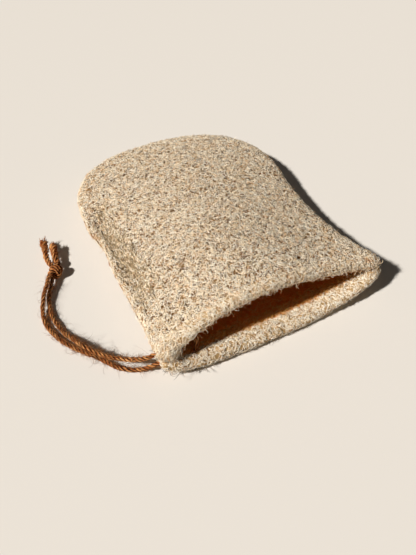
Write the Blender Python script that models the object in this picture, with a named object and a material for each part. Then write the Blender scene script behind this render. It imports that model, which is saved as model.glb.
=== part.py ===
"""Loofah bath mitt with a knotted twine hanging loop, in metres, +Z up.

Two thick sheets of dried loofah are sewn together round the sides and the rounded end.
The seam is turned inside, so it shows only as a crease, and the mouth stays open.
A jute twine goes through both sheets beside the left corner of the mouth.
The mouth looks along -Y and the closed end along +Y; the origin is under the middle.
"""
import math

import bmesh
import bpy
import numpy as np

# Plan of the mitt, seen from above
MOUTH_Y = -0.0766
DOME_Y = 0.0284
END_Y = 0.0836
DOME_SQUARENESS = 2.35
END_SLANT = -0.035
LEFT_EDGE = ((-0.0766, -0.0659), (-0.0550, -0.0642), (-0.0100, -0.0630),
             (0.0070, -0.0617), (0.0284, -0.0639))
RIGHT_EDGE = ((-0.0766, 0.0666), (-0.0640, 0.0629), (-0.0480, 0.0599),
              (0.0040, 0.0601), (0.0284, 0.0641))

# Cross section
SEAM_Z = 0.0098
SIDE_RISE = 0.0100
END_THINNER = 0.0022
SIDE_SQUARENESS = 4.0
CROWN_AT_MOUTH = 0.0115
CROWN_AT_END = 0.0045
CROWN_POWER = 2.0
CROWN_SKEW = 0.45
LOWER_SQUARENESS = 3.0
LOWER_CLEAR = 0.0008
FLAT_SPOT = 0.0110
CORNER_LIFT = 0.0056
CORNER_PINCH = 0.0035
LIFT_FROM = (0.0145, -0.0196)
LIFT_SPAN = (0.0500, 0.0580)
FOLD_X = -0.0562
FOLD_WIDTH = 0.0026
FOLD_DEPTH = 0.0062
FOLD_FADE_NEAR = (-0.0600, 0.0450)
FOLD_FADE_FAR = (0.0420, 0.0260)
THICKNESS = 0.0055
POCKET_SQUARENESS = 8

# Seam and mouth
TUCK = 0.0034
TUCK_REACH = 0.0022
SEAM_ALLOWANCE = 0.0080
SEAM_GAP = 0.0003
UPPER_LIP_BACK = 0.0042
LOWER_LIP_OUT = 0.0052
LIP_ROUND = 0.0024
LIP_SQUARENESS = 4
RIM_STEPS = (0.30, 0.45, 0.60)
GROOVE_DEPTH = 0.0011

# Raised net of the loofah, larger than life
NET_RIDGE = 0.0011
NET_PIT = 0.0009
NET_UNEVEN = 0.35
NET_WANDER = 0.20
NET_SEED = 11
UPPER_CELLS = (40, 30, 20)
LOWER_CELLS = (32, 24, 16)

# Sewing thread inside the seam
THREAD_RADIUS = 0.00045
THREAD_END = 3

# Twine
TWINE = 0.0028
TWINE_CLEARANCE = 0.0004
TWINE_STEP = 2.0 * TWINE
LOOP_ROUTE = (
    (-0.0918, 0.0056, 0.0026), (-0.0951, 0.0000, 0.0017), (-0.0971, -0.0042, 0.0016),
    (-0.0985, -0.0096, 0.0016), (-0.0994, -0.0152, 0.0016), (-0.0994, -0.0206, 0.0016),
    (-0.0985, -0.0262, 0.0016), (-0.0972, -0.0322, 0.0020), (-0.0951, -0.0378, 0.0032),
    (-0.0931, -0.0432, 0.0045), (-0.0906, -0.0486, 0.0050), (-0.0874, -0.0530, 0.0050),
    (-0.0843, -0.0568, 0.0050), (-0.0805, -0.0605, 0.0055), (-0.0766, -0.0640, 0.0064),
    (-0.0727, -0.0672, 0.0077), (-0.0691, -0.0696, 0.0092), (-0.0663, -0.0709, 0.0108),
    (-0.0635, -0.0714, 0.0121), (-0.0574, -0.0699, 0.0134), (-0.0512, -0.0684, 0.0147),
    (-0.0463, -0.0688, 0.0142), (-0.0440, -0.0702, 0.0124), (-0.0431, -0.0721, 0.0098),
    (-0.0440, -0.0740, 0.0072), (-0.0463, -0.0754, 0.0054), (-0.0512, -0.0758, 0.0049),
    (-0.0574, -0.0741, 0.0051), (-0.0640, -0.0725, 0.0053), (-0.0672, -0.0716, 0.0040),
    (-0.0705, -0.0703, 0.0026), (-0.0743, -0.0684, 0.0017), (-0.0780, -0.0661, 0.0016),
    (-0.0814, -0.0628, 0.0016), (-0.0843, -0.0583, 0.0016), (-0.0872, -0.0539, 0.0016),
    (-0.0905, -0.0494, 0.0016), (-0.0939, -0.0451, 0.0016), (-0.0974, -0.0402, 0.0016),
    (-0.1003, -0.0349, 0.0016), (-0.1025, -0.0288, 0.0016), (-0.1038, -0.0227, 0.0016),
    (-0.1037, -0.0168, 0.0018), (-0.1025, -0.0118, 0.0029), (-0.1005, -0.0072, 0.0041),
    (-0.0983, -0.0028, 0.0047), (-0.0957, 0.0014, 0.0050), (-0.0930, 0.0065, 0.0056))
CHANNEL_START_X = -0.0695
KNOT_CENTRE = (-0.0884, 0.0096, 0.0042)
KNOT_RADII = (0.0042, 0.0050, 0.0036)
KNOT_TURN = math.radians(35)
KNOT_RIDGE = 0.10
KNOT_WRAPS = 2
KNOT_SLANT = 5.0
KNOT_FACES = (20, 14)
LONG_TAIL = ((-0.0887, 0.0145, 0.0041), (-0.0896, 0.0200, 0.0042), (-0.0891, 0.0250, 0.0046),
             (-0.0881, 0.0302, 0.0051), (-0.0875, 0.0342, 0.0054))
SHORT_TAIL = ((-0.0854, 0.0145, 0.0044), (-0.0853, 0.0196, 0.0046), (-0.0843, 0.0246, 0.0048),
              (-0.0835, 0.0294, 0.0050))
TAIL_SPREAD = 1.35

# Colours, roughness
LOOFAH_LIGHT = (0.66, 0.52, 0.34, 1.0)
LOOFAH_SHADE = (0.58, 0.44, 0.27, 1.0)
THREAD_COLOUR = (0.74, 0.66, 0.52, 1.0)
JUTE_COLOUR = (0.36, 0.13, 0.035, 1.0)


def clear_scene():
    for item in list(bpy.data.objects):
        bpy.data.objects.remove(item, do_unlink=True)


def finish(name, colour, roughness):
    material = bpy.data.materials.new(name)
    material.use_nodes = True
    shader = material.node_tree.nodes["Principled BSDF"]
    shader.inputs["Base Color"].default_value = colour
    shader.inputs["Roughness"].default_value = roughness
    return material


def add_object(name, data, material):
    item = bpy.data.objects.new(name, data)
    bpy.context.scene.collection.objects.link(item)
    data.materials.append(material)
    return item


def smooth_value(points, at):
    """Read a cubic through hand-set (place, value) pairs, level at its last point."""
    place, value = np.array(points).T
    slope = np.gradient(value, place)
    slope[-1] = 0.0
    at = np.clip(at, place[0], place[-1])
    low = np.clip(np.searchsorted(place, at) - 1, 0, len(place) - 2)
    width = place[low + 1] - place[low]
    t = (at - place[low]) / width
    start = (1 + 2 * t) * (1 - t) ** 2 * value[low] + t * (1 - t) ** 2 * width * slope[low]
    end = t * t * (3 - 2 * t) * value[low + 1] - t * t * (1 - t) * width * slope[low + 1]
    return start + end


def ease(t):
    t = np.clip(t, 0.0, 1.0)
    return t * t * (3 - 2 * t)


def arch(q, squareness):
    return np.maximum(1 - q ** squareness, 0.0) ** (1 / squareness)


def corner_share(x, y):
    """One at the right corner of the mouth, fading to nothing away from it."""
    return ease((x - LIFT_FROM[0]) / LIFT_SPAN[0]) * ease((LIFT_FROM[1] - y) / LIFT_SPAN[1])


def fold_share(x, y):
    """One in the fold beside the left edge, fading towards the mouth and the closed end."""
    beside = np.exp(-0.5 * ((x - FOLD_X) / FOLD_WIDTH) ** 2)
    near = ease((y - FOLD_FADE_NEAR[0]) / FOLD_FADE_NEAR[1])
    return beside * near * ease((FOLD_FADE_FAR[0] - y) / FOLD_FADE_FAR[1])


def seam_height(x, y):
    """The right corner of the mouth stands off the surface, the rest of the seam is level."""
    return SEAM_Z + CORNER_LIFT * corner_share(x, y)


def even_fraction(r):
    """Turn equal steps over the bulging section into fractions of the plan half width."""
    q = np.sin(np.linspace(0, math.pi / 2, 200))
    half = smooth_value(RIGHT_EDGE, 0.0)
    rise = SIDE_RISE * arch(q, SIDE_SQUARENESS)
    walked = np.concatenate(([0], np.cumsum(np.hypot(np.diff(q * half), np.diff(rise)))))
    return np.interp(r, walked / walked[-1], q)


def mouth_edge(upper, r):
    if upper:
        return MOUTH_Y + UPPER_LIP_BACK * (1 - r ** LIP_SQUARENESS)
    return MOUTH_Y - LOWER_LIP_OUT * (1 - r ** LIP_SQUARENESS)


def plan(upper, across, along):
    """Spine point, reach vector to the outline and fraction r for a grid of the sheet.

    across runs from -1 to 1; along runs from -1 at the mouth through 0, where the rounded
    end begins, to 1. The rounded end is a half square bent into a half disc.
    """
    body = along <= 0
    dome = np.clip(along, 0.0, 1.0)
    edge = mouth_edge(upper, np.abs(across))
    y = np.where(body, edge + (DOME_Y - edge) * (1 + along), DOME_Y)
    left = smooth_value(LEFT_EDGE, y)
    right = smooth_value(RIGHT_EDGE, y)
    middle, half = (left + right) / 2, (right - left) / 2
    disc_x = across * np.sqrt(1 - dome ** 2 / 2)
    disc_y = dome * np.sqrt(1 - across ** 2 / 2)
    r = np.where(body, np.abs(across), np.hypot(disc_x, disc_y))
    on_spine = r < 1e-9
    safe = np.where(on_spine, 1.0, np.hypot(disc_x, disc_y))
    side, ahead = np.where(on_spine, 1.0, disc_x / safe), disc_y / safe
    power = DOME_SQUARENESS
    square = (np.abs(side) ** power + np.abs(ahead) ** power) ** (-1 / power)
    reach_x = np.where(body, half * np.sign(across), half * side * square)
    reach_y = np.where(body, 0.0, (END_Y - DOME_Y) * ahead * square)
    return middle, y, reach_x, reach_y, np.minimum(r, 1.0)


def outer_height(upper, q, x, y):
    seam = seam_height(x, y)
    if upper:
        toward_end = ease((y - MOUTH_Y) / (END_Y - MOUTH_Y))
        skew = 1 - CROWN_SKEW * (1 - toward_end) * x / RIGHT_EDGE[0][1]
        crown = (CROWN_AT_MOUTH + (CROWN_AT_END - CROWN_AT_MOUTH) * toward_end) * skew
        rise = SIDE_RISE - CORNER_PINCH * corner_share(x, y) - END_THINNER * toward_end
        rise = rise - FOLD_DEPTH * fold_share(x, y)
        return seam + rise * arch(q, SIDE_SQUARENESS) + crown * (1 - q ** 2) ** CROWN_POWER
    return seam - (SEAM_Z - LOWER_CLEAR) * arch(q, LOWER_SQUARENESS)


def place(parts, q, inset):
    """Plan position at fraction q of the reach, pulled in by inset metres at the outline."""
    middle, y, reach_x, reach_y, _ = parts
    reach = np.maximum(np.hypot(reach_x, reach_y), 1e-9)
    scale = q - inset / reach
    x = middle + reach_x * scale
    ahead = y + reach_y * scale
    slant = END_SLANT * np.clip((ahead - DOME_Y) / (END_Y - DOME_Y), 0, 1)
    return x, ahead + slant * (x - middle)


def outer_grid(upper, across, along):
    parts = plan(upper, across, along)
    q = even_fraction(parts[4])
    flat_x, flat_y = place(parts, q, 0.0)
    z = outer_height(upper, q, flat_x, flat_y)
    tuck = TUCK * np.exp(-np.abs(z - seam_height(flat_x, flat_y)) / TUCK_REACH)
    x, y = place(parts, q, tuck)
    return np.stack([x, y, z], axis=-1)


def inner_grid(upper, across, along):
    """The pocket side: one thickness under the outside, closing down to the seam allowance."""
    parts = plan(upper, across, along)
    r = parts[4]
    q = even_fraction(r)
    reach = np.maximum(np.hypot(parts[2], parts[3]), 1e-9)
    x, y = place(parts, q, q * (TUCK + SEAM_ALLOWANCE))
    under = q * (1 - (TUCK + SEAM_ALLOWANCE) / reach)
    seam = seam_height(x, y)
    side = 1 if upper else -1
    skin = outer_height(upper, under, x, y)
    if not upper:
        skin = skin - LOWER_CLEAR
    wall = np.sqrt(np.maximum(1 - r ** POCKET_SQUARENESS, 0.0))
    edge = seam + side * SEAM_GAP / 2
    z = edge + (skin - side * THICKNESS - edge) * wall
    return np.stack([x, y, z], axis=-1)


def raise_net(points, side):
    """Lift every other crossing along the outward normal, so ridges run between them."""
    draw = np.random.default_rng(NET_SEED)
    normal = np.cross(np.gradient(points, axis=0), np.gradient(points, axis=1))
    normal /= np.linalg.norm(normal, axis=-1, keepdims=True)
    normal *= side * np.sign(np.median(normal[..., 2]))
    i, j = np.indices(points.shape[:2])
    rim = np.minimum.reduce([i, j, i.max() - i, j.max() - j])
    height = np.where((i + j) % 2 == 0, NET_RIDGE, -NET_PIT)
    height = height * (1 - NET_UNEVEN * draw.random(i.shape)) * np.clip(rim / 2, 0, 1)
    return points + normal * height[..., None]


def wander(across, along):
    """Push the crossings off a regular grid by seeded draws, less at the rims."""
    draw = np.random.default_rng(NET_SEED)
    i, j = np.indices(across.shape)
    rim = np.clip(np.minimum.reduce([i, j, i.max() - i, j.max() - j]) / 2, 0, 1)
    step_i = np.gradient(across, axis=0)
    step_j = np.gradient(along, axis=1)
    across = across + NET_WANDER * rim * step_i * draw.uniform(-1, 1, i.shape)
    along = along + NET_WANDER * rim * step_j * draw.uniform(-1, 1, i.shape)
    return across, along


def sheet_grid(cells):
    count, body_rows, dome_rows = cells
    across = np.linspace(-1, 1, count + 1)
    body = np.linspace(-1, 0, body_rows + 1)
    dome = np.linspace(0, 1, dome_rows + 1)[1:]
    return np.meshgrid(across, np.concatenate((body, dome)), indexing="ij")


def around(grid):
    """The rim of a grid as one ring: left side, closed end, right side, then the mouth."""
    return np.concatenate((grid[0, :-1], grid[:-1, -1], grid[-1, :0:-1], grid[:0:-1, 0]))


def rim_rings(upper, outer_rim, inner_rim, along_rim):
    """Rings between the outside and the pocket: the flat seam allowance and the round lip."""
    side = 1 if upper else -1
    lip = np.where(along_rim <= -1 + 1e-6, 1.0, 0.0)
    corner = (np.roll(lip, 1) + np.roll(lip, -1) + lip) < 3
    lip = np.where((lip > 0) & corner, 0.5, lip)
    rings = []
    for t in RIM_STEPS:
        ring = outer_rim + (inner_rim - outer_rim) * t
        depth = GROOVE_DEPTH if t == RIM_STEPS[1] else 0.0
        seam = seam_height(ring[:, 0], ring[:, 1]) + side * (SEAM_GAP / 2 + depth)
        ring[:, 2] = np.where(lip == 0, seam, ring[:, 2])
        ring[:, 1] -= LIP_ROUND * math.sin(math.pi * t) * lip
        rings.append(ring)
    return rings


def sheet_mesh(name, upper, cells):
    """One closed sheet: the netted outside, the rim and the smoother pocket side."""
    across, along = sheet_grid(cells)
    side = 1 if upper else -1
    outer = outer_grid(upper, *wander(across, along))
    outer[..., 2] += side * SEAM_GAP / 2
    outer = raise_net(outer, side)
    on_spot = (np.hypot(outer[..., 0], outer[..., 1]) < FLAT_SPOT) & (not upper)
    outer[..., 2] = np.where(on_spot, 0.0, np.maximum(outer[..., 2], 0.0))
    coarse = (slice(None, None, 2), slice(None, None, 2))
    inner = inner_grid(upper, across[coarse], along[coarse])

    mesh = bmesh.new()

    def add(points):
        return [mesh.verts.new(point) for point in points.reshape(-1, 3)]

    outer_verts = np.array(add(outer), dtype=object).reshape(outer.shape[:2])
    inner_verts = np.array(add(inner), dtype=object).reshape(inner.shape[:2])
    rings = rim_rings(upper, around(outer)[::2], around(inner), around(along[coarse]))
    ring_verts = [add(ring) for ring in rings] + [list(around(inner_verts))]

    for i in range(outer.shape[0] - 1):
        for j in range(outer.shape[1] - 1):
            a, b = outer_verts[i, j], outer_verts[i + 1, j]
            c, d = outer_verts[i + 1, j + 1], outer_verts[i, j + 1]
            faces = ((a, b, c), (a, c, d)) if (i + j) % 2 == 0 else ((a, b, d), (b, c, d))
            for face in faces:
                mesh.faces.new(face)
    for i in range(inner.shape[0] - 1):
        for j in range(inner.shape[1] - 1):
            mesh.faces.new((inner_verts[i, j], inner_verts[i + 1, j],
                            inner_verts[i + 1, j + 1], inner_verts[i, j + 1]))
    fine = list(around(outer_verts))
    first = ring_verts[0]
    for k in range(len(first)):
        start, half, end = fine[2 * k], fine[2 * k + 1], fine[(2 * k + 2) % len(fine)]
        near, far = first[k], first[(k + 1) % len(first)]
        for face in ((start, half, near), (half, far, near), (half, end, far)):
            mesh.faces.new(face)
    for one, two in zip(ring_verts, ring_verts[1:]):
        for k in range(len(one)):
            after = (k + 1) % len(one)
            mesh.faces.new((one[k], one[after], two[after], two[k]))
    bmesh.ops.triangulate(mesh, faces=[face for face in mesh.faces if len(face.verts) > 3])
    bmesh.ops.recalc_face_normals(mesh, faces=mesh.faces[:])
    data = bpy.data.meshes.new(name)
    mesh.to_mesh(data)
    mesh.free()
    return data


def thread_path():
    """Middle of the seam allowance all round, ending short of both corners of the mouth."""
    across, along = sheet_grid(UPPER_CELLS)
    coarse = (slice(None, None, 2), slice(None, None, 2))
    across, along = across[coarse], along[coarse]
    outer = around(outer_grid(True, across, along))
    inner = around(inner_grid(True, across, along))
    ring = outer + (inner - outer) * RIM_STEPS[1]
    ring[:, 2] = seam_height(ring[:, 0], ring[:, 1])
    seam_count = 2 * (across.shape[1] - 1) + across.shape[0]
    return ring[THREAD_END:seam_count - THREAD_END]


def smooth_route(points, step):
    """Even steps along one smooth curve through the route's own points."""
    points = np.array(points)
    chord = np.sqrt(np.linalg.norm(np.diff(points, axis=0), axis=1))
    knots = np.concatenate(([0], np.cumsum(chord)))
    slope = np.gradient(points, knots, axis=0)
    fine = np.linspace(0, knots[-1], 40 * len(points))
    low = np.clip(np.searchsorted(knots, fine) - 1, 0, len(points) - 2)
    width = (knots[low + 1] - knots[low])[:, None]
    t = (fine - knots[low])[:, None] / width
    curve = ((1 + 2 * t) * (1 - t) ** 2 * points[low] + t * (1 - t) ** 2 * width * slope[low]
             + t * t * (3 - 2 * t) * points[low + 1] - t * t * (1 - t) * width * slope[low + 1])
    walked = np.concatenate(([0], np.cumsum(np.linalg.norm(np.diff(curve, axis=0), axis=1))))
    even = np.linspace(0, walked[-1], max(2, round(walked[-1] / step)) + 1)
    return np.stack([np.interp(even, walked, curve[:, k]) for k in range(3)], axis=1)


def tube(name, points, radius, material, spread=None):
    """A plain tube with filled caps; spread widens its last points, as a frayed end."""
    curve = bpy.data.curves.new(name, "CURVE")
    curve.dimensions = "3D"
    curve.bevel_depth = radius
    curve.bevel_resolution = 2
    curve.use_fill_caps = True
    spline = curve.splines.new("POLY")
    spline.points.add(len(points) - 1)
    for k, point in enumerate(points):
        spline.points[k].co = (*point, 1.0)
        if spread:
            spline.points[k].radius = 1 + (spread - 1) * (k / (len(points) - 1)) ** 2
    return add_object(name, curve, material)


def channel_cutter(route, material):
    """A wider tube along the hidden stretch of the loop, as a mesh that the sheets lose."""
    guide = tube("twine_channel_guide", route, TWINE / 2 + TWINE_CLEARANCE, material)
    seen = guide.evaluated_get(bpy.context.evaluated_depsgraph_get())
    data = bpy.data.meshes.new_from_object(seen)
    data.name = "twine_channel"
    bpy.data.objects.remove(guide, do_unlink=True)
    cutter = bpy.data.objects.new("twine_channel", data)
    bpy.context.scene.collection.objects.link(cutter)
    cutter.hide_render = True
    cutter.display_type = "WIRE"
    return cutter


def cut(item, cutter):
    modifier = item.modifiers.new("twine_channel", "BOOLEAN")
    modifier.operation = "DIFFERENCE"
    modifier.solver = "EXACT"
    modifier.object = cutter


def knot(material):
    """An overhand knot as one lump, with the wraps of twine as slanting ridges."""
    mesh = bmesh.new()
    segments, rings = KNOT_FACES
    bmesh.ops.create_uvsphere(mesh, u_segments=segments, v_segments=rings, radius=1.0)
    for vert in mesh.verts:
        x, y, along = vert.co
        turn = math.atan2(y, x)
        wrap = math.cos(KNOT_WRAPS * turn + KNOT_SLANT * along)
        ridge = 1 + KNOT_RIDGE * wrap * (1 - along ** 2)
        px, py, pz = x * ridge * KNOT_RADII[0], along * KNOT_RADII[1], y * ridge * KNOT_RADII[2]
        vert.co.x = px * math.cos(KNOT_TURN) + py * math.sin(KNOT_TURN)
        vert.co.y = py * math.cos(KNOT_TURN) - px * math.sin(KNOT_TURN)
        vert.co.z = pz
    bmesh.ops.recalc_face_normals(mesh, faces=mesh.faces[:])
    data = bpy.data.meshes.new("cord_knot")
    mesh.to_mesh(data)
    mesh.free()
    item = add_object("cord_knot", data, material)
    item.location = KNOT_CENTRE
    return item


def build_mitt():
    light = finish("loofah_light", LOOFAH_LIGHT, 0.85)
    shade = finish("loofah_shade", LOOFAH_SHADE, 0.85)
    thread = finish("sewing_thread", THREAD_COLOUR, 0.7)
    jute = finish("jute_twine", JUTE_COLOUR, 0.9)

    upper = add_object("upper_panel", sheet_mesh("upper_panel", True, UPPER_CELLS), light)
    lower = add_object("lower_panel", sheet_mesh("lower_panel", False, LOWER_CELLS), shade)
    tube("seam_thread", thread_path(), THREAD_RADIUS, thread)

    loop = smooth_route(LOOP_ROUTE, TWINE_STEP)
    tube("cord_loop", loop, TWINE / 2, jute)
    hidden = channel_cutter(loop[loop[:, 0] > CHANNEL_START_X], jute)
    cut(upper, hidden)
    cut(lower, hidden)
    knot(jute)
    tube("cord_tail_long", smooth_route(LONG_TAIL, TWINE_STEP), TWINE / 2, jute, TAIL_SPREAD)
    tube("cord_tail_short", smooth_route(SHORT_TAIL, TWINE_STEP), TWINE / 2, jute, TAIL_SPREAD)


clear_scene()
build_mitt()
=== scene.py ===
# %% [markdown]
# # A loofah bath mitt with a twine hanging loop
#
# Two thick sheets of dried loofah are sewn together round the sides and the rounded end, with the
# seam turned inside, and a knotted jute twine hangs it up. Everything here is in metres. The packed
# solids give every place and size, and this file gives them their fibres, twist, fuzz and colour.

import math

import bpy
import numpy as np
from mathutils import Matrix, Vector
from mathutils.bvhtree import BVHTree


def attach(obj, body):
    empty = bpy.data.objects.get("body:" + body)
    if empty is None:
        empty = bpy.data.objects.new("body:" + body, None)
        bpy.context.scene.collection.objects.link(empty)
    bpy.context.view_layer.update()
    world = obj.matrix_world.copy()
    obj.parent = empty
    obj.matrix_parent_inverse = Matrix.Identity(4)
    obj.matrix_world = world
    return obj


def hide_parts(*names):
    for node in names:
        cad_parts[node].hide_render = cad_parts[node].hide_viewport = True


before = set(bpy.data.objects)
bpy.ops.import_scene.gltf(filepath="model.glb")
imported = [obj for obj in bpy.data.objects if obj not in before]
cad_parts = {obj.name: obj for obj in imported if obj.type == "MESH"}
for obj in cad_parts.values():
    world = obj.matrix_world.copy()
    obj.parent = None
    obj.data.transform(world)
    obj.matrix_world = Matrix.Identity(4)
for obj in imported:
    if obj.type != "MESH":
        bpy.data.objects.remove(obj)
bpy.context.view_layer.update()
MM = 0.001
draw = np.random.default_rng(7)
print("solids:", sorted(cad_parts))

# %% [markdown]
# ## Camera
#
# The photograph looks down on the mitt from its front left. The camera could be pointed with a
# constraint, but a place and a direction say the same thing in two lines and nothing can move it
# later. The focal length is worked out for a tall picture of 416 by 555.

# %% Camera
PICTURE_HEIGHT = 555
FOCAL_IN_PICTURE = 600
SENSOR = 36.0
CAMERA_PLACE = Vector((-0.1187, -0.2293, 0.2443))
CAMERA_AIM = Vector((0.3139, 0.6010, -0.7350))

lens = bpy.data.cameras.new("camera")
lens.sensor_fit = "VERTICAL"
lens.sensor_height = SENSOR
lens.sensor_width = SENSOR
lens.lens = SENSOR * FOCAL_IN_PICTURE / PICTURE_HEIGHT
lens.clip_start = 0.01
camera = bpy.data.objects.new("camera", lens)
camera.location = CAMERA_PLACE
camera.rotation_mode = "QUATERNION"
camera.rotation_quaternion = CAMERA_AIM.to_track_quat("-Z", "Y")
bpy.context.scene.collection.objects.link(camera)
bpy.context.scene.camera = camera
print(f"lens {lens.lens:.1f} mm")

# %% [markdown]
# ## Tubes, the one shape behind every strand and fibre
#
# Twine, hairs and loofah fibres are all round things that follow a line. Blender's curves could draw
# them, but tens of thousands of curves are slow. One numpy helper sweeps a ring along many lines at
# once instead, and a second one turns the rings into a mesh with smooth faces.

# %% Sweep rings along many lines
def unit(vectors):
    length = np.linalg.norm(vectors, axis=-1, keepdims=True)
    return vectors / np.maximum(length, 1e-12)


def sweep(lines, outward, radii, sides, half=False):
    """Rings round lines (n, k, 3); outward leans away from the surface, radii is (n, k[, sides]).

    A half ring leaves out the side that lies on the mat, where nobody sees it.
    """
    along = unit(np.gradient(lines, axis=1))
    side = unit(np.cross(along, outward))
    out = np.cross(side, along)
    turn = np.linspace(0, math.pi, sides) if half else np.arange(sides) * 2 * math.pi / sides
    ring = (np.cos(turn)[:, None] * side[:, :, None] + np.sin(turn)[:, None] * out[:, :, None])
    radii = radii[..., None] if radii.ndim == 2 else radii
    points = lines[:, :, None] + radii[..., None] * ring
    index = np.arange(points[..., 0].size).reshape(points.shape[:3])
    after = index[:, :, 1:] if half else np.roll(index, -1, axis=2)
    index = index[:, :, :-1] if half else index
    quads = np.stack([index[:, :-1], index[:, 1:], after[:, 1:], after[:, :-1]], axis=-1)
    return points.reshape(-1, 3), quads.reshape(-1, 4)


straw = sweep(np.array([[(0, 0, 0), (0, 0, MM), (0, 0, 2 * MM)]]), np.array((1.0, 0, 0)),
              np.full((1, 3), MM), 6)
print("a tube of three rings of six corners:", len(straw[0]), "points and", len(straw[1]), "faces")


# %% Meshes from arrays of numbers
def new_mesh(name, points, faces):
    corners = faces.shape[1]
    data = bpy.data.meshes.new(name)
    data.vertices.add(len(points))
    data.vertices.foreach_set("co", points.astype(np.float32).ravel())
    data.loops.add(faces.size)
    data.loops.foreach_set("vertex_index", faces.astype(np.int32).ravel())
    data.polygons.add(len(faces))
    data.polygons.foreach_set("loop_start", np.arange(0, faces.size, corners, dtype=np.int32))
    data.update(calc_edges=True)
    data.shade_smooth()
    return data


def set_values(data, name, values):
    kind = "FLOAT" if values.ndim == 1 else "FLOAT_VECTOR"
    field = "value" if values.ndim == 1 else "vector"
    layer = data.attributes.new(name, kind, "POINT")
    layer.data.foreach_set(field, values.astype(np.float32).ravel())


def joined_mesh(name, runs):
    """One mesh of several swept runs, each (points, faces, values at its points by name)."""
    points, faces, count = [], [], 0
    for run_points, run_faces, _ in runs:
        points.append(run_points)
        faces.append(run_faces + count)
        count += len(run_points)
    data = new_mesh(name, np.concatenate(points), np.concatenate(faces))
    for key in runs[0][2]:
        set_values(data, key, np.concatenate([values[key] for _, _, values in runs]))
    return data


def add_piece(name, data, material):
    piece = bpy.data.objects.new(name, data)
    bpy.context.scene.collection.objects.link(piece)
    data.materials.append(material)
    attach(piece, "root")
    triangles = sum(len(p.vertices) - 2 for p in data.polygons)
    print(f"{name}: {triangles} triangles")
    return piece


# %% [markdown]
# ## Materials
#
# Every finish is a small web of nodes. The helper adds a node, sets its plain values and joins its
# inputs, so each material below reads as a short recipe.

# %% Node helper
def start_material(name, roughness):
    material = bpy.data.materials.new(name)
    material.use_nodes = True
    shader = material.node_tree.nodes["Principled BSDF"]
    shader.inputs["Roughness"].default_value = roughness
    return material, material.node_tree, shader


def add_node(tree, kind, links=(), **values):
    """A node with its settings; links is (input, output socket) pairs."""
    node = tree.nodes.new(kind)
    for key, value in values.items():
        if hasattr(node, key):
            setattr(node, key, value)
        else:
            node.inputs[key].default_value = value
    for socket, source in links:
        tree.links.new(source, node.inputs[socket])
    return node


def srgb(red, green, blue):
    """A colour as it looks on screen, 0 to 255, turned into the linear values that Blender mixes."""
    seen = np.array([red, green, blue]) / 255
    linear = np.where(seen < 0.04045, seen / 12.92, ((seen + 0.055) / 1.055) ** 2.4)
    return (*linear.tolist(), 1.0)


def colour_steps(tree, source, steps):
    """A colour ramp through (place, colour) steps."""
    ramp = add_node(tree, "ShaderNodeValToRGB", [("Fac", source)])
    points = ramp.color_ramp.elements
    while len(points) < len(steps):
        points.new(0.5)
    for point, (place, colour) in zip(points, steps):
        point.position = place
        point.color = colour
    return ramp.outputs["Color"]


print("cream on screen, as Blender mixes it:", np.round(srgb(252, 231, 192), 3))

# %% [markdown]
# ## Jute
#
# Jute is a bast fibre, and a jute ply is streaked along its length in dark red brown, orange and pale
# peach. An even noise would look like rust. So the noise is stretched along each ply, with the help of
# coordinates that every strand carries in its own mesh. The grooves between the plies get a darker
# colour too, because so little light reaches them.

# %% Jute
JUTE_SHINE = 0.06


def make_jute(name, groove_colour, dark, middle, light, roughness):
    """Streaks along each ply, with the grooves between the plies darker."""
    material, tree, shader = start_material(name, roughness)
    shader.inputs["Specular IOR Level"].default_value = JUTE_SHINE
    strand = add_node(tree, "ShaderNodeAttribute", attribute_name="strand").outputs["Vector"]
    groove = add_node(tree, "ShaderNodeAttribute", attribute_name="groove").outputs["Fac"]
    streaks = add_node(tree, "ShaderNodeTexNoise", [("Vector", strand)], Scale=1.0, Detail=4.0)
    patches = add_node(tree, "ShaderNodeTexNoise", Scale=520.0, Detail=3.0, Roughness=0.7)
    mixed = add_node(tree, "ShaderNodeMath", [(0, streaks.outputs["Fac"]),
                                              (1, patches.outputs["Fac"])], operation="ADD")
    halved = add_node(tree, "ShaderNodeMath", [(0, mixed.outputs[0])], operation="MULTIPLY")
    halved.inputs[1].default_value = 0.5
    colour = colour_steps(tree, halved.outputs[0], [(0.40, dark), (0.49, middle), (0.58, light)])
    shaded = add_node(tree, "ShaderNodeMix", data_type="RGBA", clamp_factor=True)
    tree.links.new(groove, shaded.inputs["Factor"])
    tree.links.new(colour, shaded.inputs[6])
    shaded.inputs[7].default_value = groove_colour
    tree.links.new(shaded.outputs[2], shader.inputs["Base Color"])
    ridges = add_node(tree, "ShaderNodeBump", [("Height", streaks.outputs["Fac"])],
                      Strength=0.9, Distance=0.0005)
    tree.links.new(ridges.outputs["Normal"], shader.inputs["Normal"])
    return material


jute = make_jute("jute", srgb(34, 9, 1), srgb(58, 17, 2), srgb(144, 62, 11), srgb(252, 190, 122), 0.75)
# A dark grey brown for the long free hairs: painted shade, in place of the shadows they cast on the table.
jute_hair_painted_shade = make_jute("jute_hair_painted_shade", srgb(40, 30, 24), srgb(66, 46, 32), srgb(120, 80, 48),
                      srgb(206, 146, 94), 0.7)
print("jute finishes:", jute.name, jute_hair_painted_shade.name)

# %% [markdown]
# ## Twine
#
# The hanging loop is one length of three-ply jute twine. It enters the mitt beside the corner of the
# mouth, turns round the seam inside and comes out below, and both strands run to the knot. It could
# be a plain tube with a twisted pattern painted on, but then its edge would be straight. So each ply
# is a real tube that winds round the middle of the route. The twine is 2.8 mm thick over its fuzz and
# 2.35 mm without it.

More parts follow.
